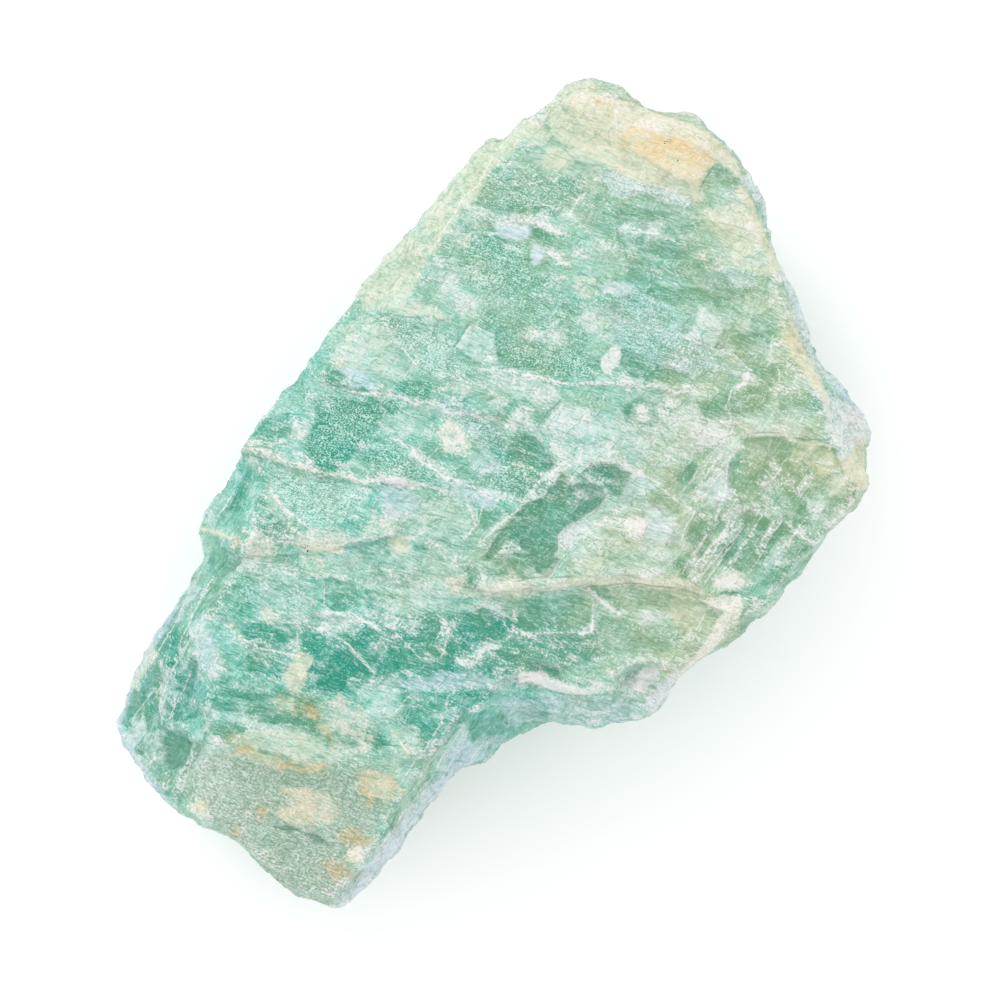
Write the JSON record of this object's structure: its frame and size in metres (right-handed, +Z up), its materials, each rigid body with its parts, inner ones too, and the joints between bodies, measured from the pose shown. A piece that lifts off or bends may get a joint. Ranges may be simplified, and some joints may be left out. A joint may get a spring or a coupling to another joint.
{
  "type": "rough amazonite",
  "caption": "Rough block of green feldspar with a broad ledged cleavage face, flaring broken sides and a small flat resting spot.",
  "frame": {"origin": "under the middle of the stone's bounding box, on the surface it rests on", "axes": "+Z up out of the broad cleavage face, +Y along the stone's length towards its wide end, +X to the right of someone who looks down on that face"},
  "size_m": [0.0758, 0.083, 0.0352],
  "materials": {
    "amazonite": "waxy to dull on broken cleavage faces"
  },
  "bodies": {
    "root": {"amazonite_stone": "amazonite"}
  },
  "joints": []
}
